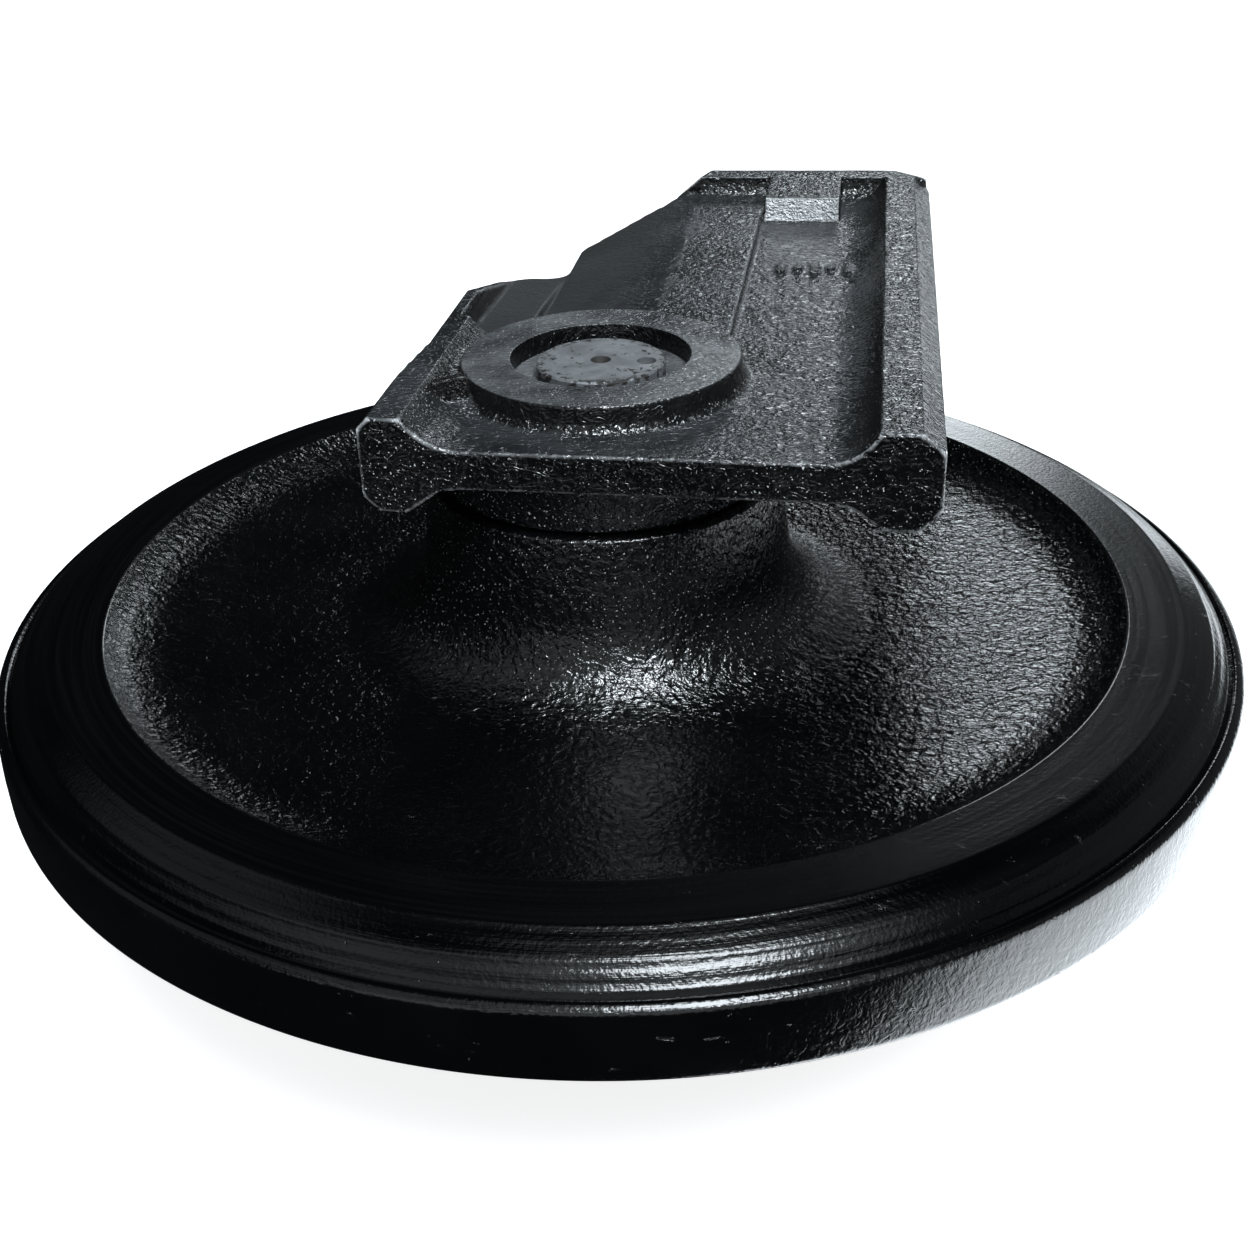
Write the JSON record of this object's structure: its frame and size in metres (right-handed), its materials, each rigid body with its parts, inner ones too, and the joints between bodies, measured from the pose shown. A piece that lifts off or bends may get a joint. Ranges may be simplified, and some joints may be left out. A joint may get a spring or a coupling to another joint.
{
  "type": "track idler wheel assembly",
  "caption": "Front idler of a tracked excavator: a dished cast wheel turning on a fixed shaft between two cast slide brackets with rails, lying with its axis upright.",
  "frame": {"origin": "on the shaft axis at the wheel's mid plane", "axes": "+Z along the shaft axis toward the upper bracket, +Y along the brackets from their short front end to the rear lug, +X toward the full-length rail"},
  "size_m": [0.5899, 0.63, 0.29],
  "materials": {
    "wheel_paint": "glossy black paint over cast and turned steel",
    "bracket_paint": "glossy black paint over rough casting",
    "shaft_steel": "turned steel with thin dark paint",
    "bronze": "bimetal bushing, oiled",
    "seal_iron": "lapped",
    "seal_rubber": "moulded nitrile",
    "pin_steel": "blackened steel",
    "washer_brass": "copper"
  },
  "bodies": {
    "carrier": {"shaft": "shaft_steel", "bracket_upper": "bracket_paint", "bracket_lower": "bracket_paint", "seal_ring_fixed_upper": "seal_iron", "seal_ring_fixed_lower": "seal_iron", "rubber_fixed_upper": "seal_rubber", "rubber_fixed_lower": "seal_rubber", "o_ring_upper": "seal_rubber", "o_ring_lower": "seal_rubber", "lock_pin_upper": "pin_steel", "lock_pin_lower": "pin_steel", "oil_plug": "pin_steel", "plug_washer": "washer_brass"},
    "wheel": {"wheel": "wheel_paint", "bushing_upper": "bronze", "bushing_lower": "bronze", "seal_ring_turning_upper": "seal_iron", "seal_ring_turning_lower": "seal_iron", "rubber_turning_upper": "seal_rubber", "rubber_turning_lower": "seal_rubber"}
  },
  "joints": [
    {"name": "wheel_spin", "type": "hinge", "parent": "carrier", "child": "wheel", "pos_m": [0, 0, 0], "axis": [0, 0, 1], "continuous": true}
  ]
}
